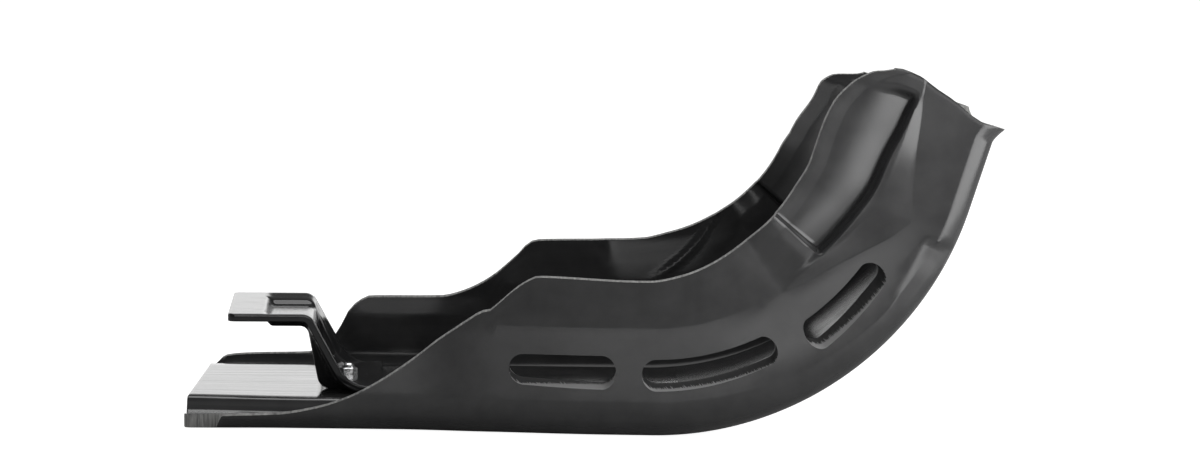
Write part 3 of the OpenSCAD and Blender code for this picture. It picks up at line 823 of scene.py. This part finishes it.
# Fine grain of moulded plastic: two sizes of noise in one height and one mask
def makeGrainGroup():
    group, start, end = newGroup("fine grain", [
        ("Vector", "NodeSocketVector", None), ("Scale", "NodeSocketFloat", 1500.0)],
        [("Height", "NodeSocketFloat"), ("Mask", "NodeSocketFloat")])
    fine = addNode(group, "ShaderNodeTexNoise", (-500, 150))
    setInputs(fine, Detail=3.0, Roughness=0.6)
    coarseScale = addNode(group, "ShaderNodeMath", (-600, -150), operation="MULTIPLY")
    coarseScale.inputs[1].default_value = 0.04
    coarse = addNode(group, "ShaderNodeTexNoise", (-400, -150))
    setInputs(coarse, Detail=4.0, Roughness=0.55)
    spreadMask = addNode(group, "ShaderNodeMapRange", (-150, -150))
    setInputs(spreadMask, From_Min=0.32, From_Max=0.68)
    links = group.links
    for noise in (fine, coarse):
        links.new(start.outputs["Vector"], noise.inputs["Vector"])
    links.new(start.outputs["Scale"], fine.inputs["Scale"])
    links.new(start.outputs["Scale"], coarseScale.inputs[0])
    links.new(coarseScale.outputs[0], coarse.inputs["Scale"])
    links.new(coarse.outputs["Fac"], spreadMask.inputs["Value"])
    links.new(fine.outputs["Fac"], end.inputs["Height"])
    links.new(spreadMask.outputs["Result"], end.inputs["Mask"])
    return group


# Long marks along one direction, left by a tool or by drawing the sheet over its form
def makeStreakGroup():
    group, start, end = newGroup("long streaks", [
        ("Vector", "NodeSocketVector", None), ("Stretch", "NodeSocketVector", (1.0, 1.0, 1.0)),
        ("Sharpness", "NodeSocketFloat", 0.2)],
        [("Height", "NodeSocketFloat"), ("Mask", "NodeSocketFloat")])
    mapping = addNode(group, "ShaderNodeMapping", (-600, 0))
    noise = addNode(group, "ShaderNodeTexNoise", (-380, 0))
    setInputs(noise, Scale=1.0, Detail=5.0, Roughness=0.55)
    low = addNode(group, "ShaderNodeMath", (-380, -260), operation="SUBTRACT")
    low.inputs[0].default_value = 0.5
    high = addNode(group, "ShaderNodeMath", (-380, -420), operation="ADD")
    high.inputs[0].default_value = 0.5
    mask = addNode(group, "ShaderNodeMapRange", (-120, -100))
    links = group.links
    links.new(start.outputs["Vector"], mapping.inputs["Vector"])
    links.new(start.outputs["Stretch"], mapping.inputs["Scale"])
    links.new(mapping.outputs["Vector"], noise.inputs["Vector"])
    for node in (low, high):
        links.new(start.outputs["Sharpness"], node.inputs[1])
    links.new(noise.outputs["Fac"], mask.inputs["Value"])
    links.new(low.outputs[0], mask.inputs["From Min"])
    links.new(high.outputs[0], mask.inputs["From Max"])
    links.new(noise.outputs["Fac"], end.inputs["Height"])
    links.new(mask.outputs["Result"], end.inputs["Mask"])
    return group


grainGroup = makeGrainGroup()
streakGroup = makeStreakGroup()


def addGroup(tree, group, place):
    node = tree.nodes.new("ShaderNodeGroup")
    node.node_tree = group
    node.location = place
    return node


finishes = {
    "satin black": {
        "dark": (0.020, 0.020, 0.0205), "light": (0.029, 0.029, 0.0295), "roughness": (0.20, 0.27),
        "grain": 1400.0, "grainDepth": 0.00002, "pattern": "UV", "stretch": (6.0, 90.0, 1.0),
        "streakDepth": 0.00003, "streakShare": 0.25},
    "smooth black": {
        "dark": (0.010, 0.010, 0.0105), "light": (0.045, 0.045, 0.0455), "roughness": (0.08, 0.24),
        "grain": 900.0, "grainDepth": 0.00001, "pattern": "UV", "stretch": (4.0, 160.0, 1.0),
        "streakDepth": 0.00008, "streakShare": 0.8, "coat": 1.0, "ior": 1.4},
    "inner wall": {
        "dark": (0.015, 0.015, 0.0155), "light": (0.024, 0.024, 0.0245), "roughness": (0.17, 0.26),
        "grain": 1200.0, "grainDepth": 0.00001, "pattern": "UV", "stretch": (5.0, 100.0, 1.0),
        "streakDepth": 0.00003, "streakShare": 0.4, "ior": 1.36},
    "milled edge": {
        "dark": (0.05, 0.05, 0.052), "light": (0.30, 0.30, 0.29), "roughness": (0.45, 0.75),
        "grain": 900.0, "grainDepth": 0.00008, "pattern": "Object", "stretch": (900.0, 60.0, 60.0),
        "streakDepth": 0.0002, "streakShare": 0.8},
    "slot lip": {
        "dark": (0.012, 0.012, 0.0125), "light": (0.028, 0.028, 0.028), "roughness": (0.5, 0.7),
        "grain": 900.0, "grainDepth": 0.00005, "pattern": "UV", "stretch": (700.0, 1.0, 1.0),
        "streakDepth": 0.0001, "streakShare": 0.6},
    "hook black": {
        "dark": (0.006, 0.006, 0.0065), "light": (0.013, 0.013, 0.0135), "roughness": (0.14, 0.22),
        "grain": 1300.0, "grainDepth": 0.00002, "pattern": "Object", "stretch": (12.0, 300.0, 12.0),
        "streakDepth": 0.00005, "streakShare": 0.4, "coat": 1.0, "ior": 1.34},
}


def makePlastic(name):
    values = finishes[name]
    material = bpy.data.materials.new(name)
    material.use_nodes = True
    tree = material.node_tree
    shader = tree.nodes["Principled BSDF"]
    ior = values.get("ior", 1.5)
    setInputs(shader, IOR=ior, Metallic=0.0)
    setInputs(shader, Coat_Weight=values.get("coat", 0.0), Coat_IOR=ior, Coat_Roughness=0.06)
    places = addNode(tree, "ShaderNodeTexCoord", (-1400, 0))
    grain = addGroup(tree, grainGroup, (-1000, 200))
    setInputs(grain, Scale=values["grain"])
    streaks = addGroup(tree, streakGroup, (-1000, -200))
    setInputs(streaks, Stretch=values["stretch"], Sharpness=0.18)
    both = addNode(tree, "ShaderNodeMix", (-750, 100), data_type="FLOAT")
    both.inputs["Factor"].default_value = values["streakShare"]
    colour = addNode(tree, "ShaderNodeMix", (-450, 200), data_type="RGBA")
    colour.inputs["A"].default_value = (*values["dark"], 1)
    colour.inputs["B"].default_value = (*values["light"], 1)
    roughness = addNode(tree, "ShaderNodeMapRange", (-450, -50))
    setInputs(roughness, To_Min=values["roughness"][0], To_Max=values["roughness"][1])
    fineBump = addNode(tree, "ShaderNodeBump", (-450, -350))
    setInputs(fineBump, Strength=1.0, Distance=values["grainDepth"])
    streakBump = addNode(tree, "ShaderNodeBump", (-200, -350))
    setInputs(streakBump, Strength=1.0, Distance=values["streakDepth"])
    links = tree.links
    links.new(places.outputs["Object"], grain.inputs["Vector"])
    links.new(places.outputs[values["pattern"]], streaks.inputs["Vector"])
    links.new(grain.outputs["Mask"], both.inputs["A"])
    links.new(streaks.outputs["Mask"], both.inputs["B"])
    links.new(both.outputs["Result"], colour.inputs["Factor"])
    links.new(both.outputs["Result"], roughness.inputs["Value"])
    links.new(colour.outputs["Result"], shader.inputs["Base Color"])
    links.new(roughness.outputs["Result"], shader.inputs["Roughness"])
    links.new(grain.outputs["Height"], fineBump.inputs["Height"])
    links.new(streaks.outputs["Height"], streakBump.inputs["Height"])
    links.new(fineBump.outputs["Normal"], streakBump.inputs["Normal"])
    links.new(streakBump.outputs["Normal"], shader.inputs["Normal"])
    links.new(streakBump.outputs["Normal"], shader.inputs["Coat Normal"])
    return material


# The lips of the slots: dark, with a ragged pale burr along the outer edge and a painted highlight,
# a bright line, along the inner one. The pattern's second coordinate is 0 outside and 1 inside.
lipWearAndPaintedHighlight = {
    "scale": 900.0,
    "noise": (0.44, 0.78),      # noise values where the burr starts and is deepest
    "depth": 0.42,
    # place across the lip past which the inner edge gets the painted highlight line
    "line": 0.965,
    # one pale colour for the burr and for the painted highlight
    "pale": (0.17, 0.17, 0.17),
    "shine": 0.15,
}


def makeSlotLip():
    material = makePlastic("slot lip")
    tree = material.node_tree
    shader = tree.nodes["Principled BSDF"]
    places = addNode(tree, "ShaderNodeUVMap", (-1400, 600))
    parts = addNode(tree, "ShaderNodeSeparateXYZ", (-1200, 600))
    ragged = addNode(tree, "ShaderNodeTexNoise", (-1200, 850), noise_dimensions="1D")
    setInputs(ragged, Scale=lipWearAndPaintedHighlight["scale"], Detail=3.0, Roughness=0.7)
    depth = addNode(tree, "ShaderNodeMapRange", (-1000, 850))
    setInputs(depth, From_Min=lipWearAndPaintedHighlight["noise"][0], From_Max=lipWearAndPaintedHighlight["noise"][1])
    setInputs(depth, To_Min=0.0, To_Max=lipWearAndPaintedHighlight["depth"])
    burr = addNode(tree, "ShaderNodeMath", (-800, 700), operation="LESS_THAN")
    # painted highlight: a pale line along the inner edge of the lip
    line = addNode(tree, "ShaderNodeMath", (-800, 500), operation="GREATER_THAN")
    line.inputs[1].default_value = lipWearAndPaintedHighlight["line"]
    # the burr mask joined with the painted highlight mask
    pale = addNode(tree, "ShaderNodeMath", (-600, 600), operation="MAXIMUM")
    colour = addNode(tree, "ShaderNodeMix", (-250, 500), data_type="RGBA")
    colour.inputs["B"].default_value = (*lipWearAndPaintedHighlight["pale"], 1)
    shader.inputs["Specular IOR Level"].default_value = lipWearAndPaintedHighlight["shine"]
    links = tree.links
    links.new(places.outputs["UV"], parts.inputs[0])
    links.new(parts.outputs["X"], ragged.inputs["W"])
    links.new(ragged.outputs["Fac"], depth.inputs["Value"])
    links.new(parts.outputs["Y"], burr.inputs[0])
    links.new(depth.outputs["Result"], burr.inputs[1])
    links.new(parts.outputs["Y"], line.inputs[0])
    links.new(burr.outputs[0], pale.inputs[0])
    links.new(line.outputs[0], pale.inputs[1])
    links.new(pale.outputs[0], colour.inputs["Factor"])
    links.new(shader.inputs["Base Color"].links[0].from_socket, colour.inputs["A"])
    links.new(colour.outputs["Result"], shader.inputs["Base Color"])
    return material


zincFinish = {
    "dark": (0.76, 0.77, 0.78),
    "light": (0.92, 0.92, 0.92),
    "roughness": (0.16, 0.3),
    "grain": 2500.0,
    "grainDepth": 0.00002,
}


def makeZinc():
    material = bpy.data.materials.new("zinc plate")
    material.use_nodes = True
    tree = material.node_tree
    shader = tree.nodes["Principled BSDF"]
    setInputs(shader, Metallic=1.0)
    places = addNode(tree, "ShaderNodeTexCoord", (-1000, 0))
    grain = addGroup(tree, grainGroup, (-700, 0))
    setInputs(grain, Scale=zincFinish["grain"])
    colour = addNode(tree, "ShaderNodeMix", (-400, 150), data_type="RGBA")
    colour.inputs["A"].default_value = (*zincFinish["dark"], 1)
    colour.inputs["B"].default_value = (*zincFinish["light"], 1)
    roughness = addNode(tree, "ShaderNodeMapRange", (-400, -100))
    setInputs(roughness, To_Min=zincFinish["roughness"][0], To_Max=zincFinish["roughness"][1])
    bump = addNode(tree, "ShaderNodeBump", (-400, -350))
    setInputs(bump, Strength=1.0, Distance=zincFinish["grainDepth"])
    links = tree.links
    links.new(places.outputs["Object"], grain.inputs["Vector"])
    links.new(grain.outputs["Mask"], colour.inputs["Factor"])
    links.new(grain.outputs["Mask"], roughness.inputs["Value"])
    links.new(grain.outputs["Height"], bump.inputs["Height"])
    links.new(colour.outputs["Result"], shader.inputs["Base Color"])
    links.new(roughness.outputs["Result"], shader.inputs["Roughness"])
    links.new(bump.outputs["Normal"], shader.inputs["Normal"])
    return material


# Camera, floor and light

view = {
    "place": (-0.0153, -2.4653, 0.3505),
    "pan": 0.47,
    "tilt": 5.45,
    "roll": -0.75,
    "lens": 117.0,
}


def makeCamera():
    pan, tilt, roll = (math.radians(view[k]) for k in ("pan", "tilt", "roll"))
    ahead = Vector((math.sin(pan) * math.cos(tilt), math.cos(pan) * math.cos(tilt), -math.sin(tilt)))
    right = Vector((math.cos(pan), -math.sin(pan), 0))
    above = right.cross(ahead)
    across = right * math.cos(roll) - above * math.sin(roll)
    upward = above * math.cos(roll) + right * math.sin(roll)
    data = bpy.data.cameras.new("camera")
    data.lens = view["lens"]
    data.sensor_width = 36.0
    data.clip_end = 50.0
    camera = bpy.data.objects.new("camera", data)
    bpy.context.scene.collection.objects.link(camera)
    turned = Matrix((across, upward, -ahead)).transposed().to_4x4()
    camera.matrix_world = Matrix.Translation(view["place"]) @ turned
    bpy.context.scene.camera = camera


ground = {"size": 30, "shade": (0.40, 0.40, 0.40), "glow": 0.95}


# The floor glows for the camera only, so that it looks white and still darkens what it reflects in
def makeFloor():
    selectNothing()
    bpy.ops.mesh.primitive_plane_add(size=ground["size"], location=(0, 0, cadBox[0][2]))
    floor = bpy.context.object
    floor.name = "floor"
    material = bpy.data.materials.new("white floor")
    material.use_nodes = True
    tree = material.node_tree
    tree.nodes.remove(tree.nodes["Principled BSDF"])
    paper = addNode(tree, "ShaderNodeBsdfDiffuse", (-400, 0))
    paper.inputs["Color"].default_value = (*ground["shade"], 1)
    glow = addNode(tree, "ShaderNodeEmission", (-400, -150))
    setInputs(glow, Color=(1, 1, 1, 1), Strength=ground["glow"])
    path = addNode(tree, "ShaderNodeLightPath", (-700, 200))
    seen = addNode(tree, "ShaderNodeMixShader", (0, -100))
    both = addNode(tree, "ShaderNodeAddShader", (-200, -100))
    links = tree.links
    links.new(paper.outputs[0], both.inputs[0])
    links.new(glow.outputs[0], both.inputs[1])
    links.new(path.outputs["Is Camera Ray"], seen.inputs["Fac"])
    links.new(paper.outputs[0], seen.inputs[1])
    links.new(both.outputs[0], seen.inputs[2])
    links.new(seen.outputs[0], tree.nodes["Material Output"].inputs["Surface"])
    floor.data.materials.append(material)


lamps = {
    "top": {"place": (0.0, 0.1, 1.3), "aim": (0.0, 0.0, 0.1), "size": (1.4, 1.0), "power": 11.0},
    "front": {"place": (0.0, -3.0, 0.475), "aim": (0.0, 0.0, 0.475), "size": (1.7, 0.36), "power": 6.6},
    "right": {"place": (0.56, -0.34, 0.2), "aim": (0.13, 0.0, 0.2), "size": (0.62, 0.4), "power": 4.3},
}


def makeLamp(name):
    values = lamps[name]
    data = bpy.data.lights.new(name, "AREA")
    data.shape = "RECTANGLE"
    data.size, data.size_y = values["size"]
    data.energy = values["power"]
    lamp = bpy.data.objects.new(name, data)
    lamp.visible_camera = False
    bpy.context.scene.collection.objects.link(lamp)
    lamp.location = values["place"]
    aim = Vector(values["aim"]) - Vector(values["place"])
    lamp.rotation_euler = aim.to_track_quat("-Z", "Y").to_euler()


# The backdrop is white for the camera. Glossy surfaces see it low behind the object, and a
# darker room above it and on the side of the camera.
room = {
    "light": 0.45,
    "behind": 1.0,
    "before": 0.12,
    "above": 0.08,
    "depthBlend": (-0.3, 0.3),
    "heightBlend": (0.14, 0.24),
}


def makeWorld():
    world = bpy.data.worlds.new("studio")
    bpy.context.scene.world = world
    world.use_nodes = True
    tree = world.node_tree
    light = tree.nodes["Background"]
    setInputs(light, Color=(1, 1, 1, 1))
    direction = addNode(tree, "ShaderNodeTexCoord", (-1200, 0))
    parts = addNode(tree, "ShaderNodeSeparateXYZ", (-1000, 0))
    sides = addNode(tree, "ShaderNodeMapRange", (-800, 0), interpolation_type="SMOOTHSTEP")
    setInputs(sides, From_Min=room["depthBlend"][0], From_Max=room["depthBlend"][1])
    setInputs(sides, To_Min=room["before"], To_Max=room["behind"])
    height = addNode(tree, "ShaderNodeMapRange", (-800, -250), interpolation_type="SMOOTHSTEP")
    setInputs(height, From_Min=room["heightBlend"][0], From_Max=room["heightBlend"][1])
    seen = addNode(tree, "ShaderNodeMix", (-600, -50), data_type="FLOAT")
    seen.inputs["B"].default_value = room["above"]
    path = addNode(tree, "ShaderNodeLightPath", (-1000, 400))
    shiny = addNode(tree, "ShaderNodeMath", (-700, 300), operation="MAXIMUM")
    inside = addNode(tree, "ShaderNodeMix", (-450, 100), data_type="FLOAT")
    inside.inputs["A"].default_value = room["light"]
    strength = addNode(tree, "ShaderNodeMix", (-220, 100), data_type="FLOAT")
    strength.inputs["B"].default_value = 1.0
    links = tree.links
    links.new(direction.outputs["Generated"], parts.inputs[0])
    links.new(parts.outputs["Y"], sides.inputs["Value"])
    links.new(path.outputs["Is Glossy Ray"], shiny.inputs[0])
    links.new(path.outputs["Is Transmission Ray"], shiny.inputs[1])
    links.new(shiny.outputs[0], inside.inputs["Factor"])
    links.new(parts.outputs["Z"], height.inputs["Value"])
    links.new(height.outputs["Result"], seen.inputs["Factor"])
    links.new(sides.outputs["Result"], seen.inputs["A"])
    links.new(seen.outputs["Result"], inside.inputs["B"])
    links.new(path.outputs["Is Camera Ray"], strength.inputs["Factor"])
    links.new(inside.outputs["Result"], strength.inputs["A"])
    links.new(strength.outputs["Result"], light.inputs["Strength"])


def setView():
    bpy.context.scene.view_settings.view_transform = "Standard"


def finishNode(name, material):
    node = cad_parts[name]
    node.data.materials.clear()
    node.data.materials.append(material)


setView()
makeCamera()
makeFloor()
for lampName in lamps:
    makeLamp(lampName)
makeWorld()
print("camera, floor and light ready")

plastic = {name: makePlastic(name) for name in finishes if name != "slot lip"}
slotLip = makeSlotLip()
zinc = makeZinc()
print("materials ready")

formedTray = makeTray()
for name in ("satin black", "smooth black", "milled edge", "inner wall"):
    formedTray.data.materials.append(plastic[name])
cutBoltHole(formedTray, tray["floorRise"])
formedTray.data.materials.append(slotLip)
cutSlots(formedTray)
makeActive(formedTray)
bpy.ops.object.shade_smooth_by_angle(angle=math.radians(38))
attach(formedTray, "root")
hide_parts("skid_plate")
print("tray ready")

formedHook = makeHook()
formedHook.data.materials.append(plastic["hook black"])
cutBoltHole(formedHook, deckZ)
makeActive(formedHook)
bpy.ops.object.shade_smooth_by_angle(angle=math.radians(38))
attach(formedHook, "root")
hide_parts("rear_hook")
print("hook ready")

finishNode("hook_bolt", zinc)
finishNode("hook_nut", zinc)
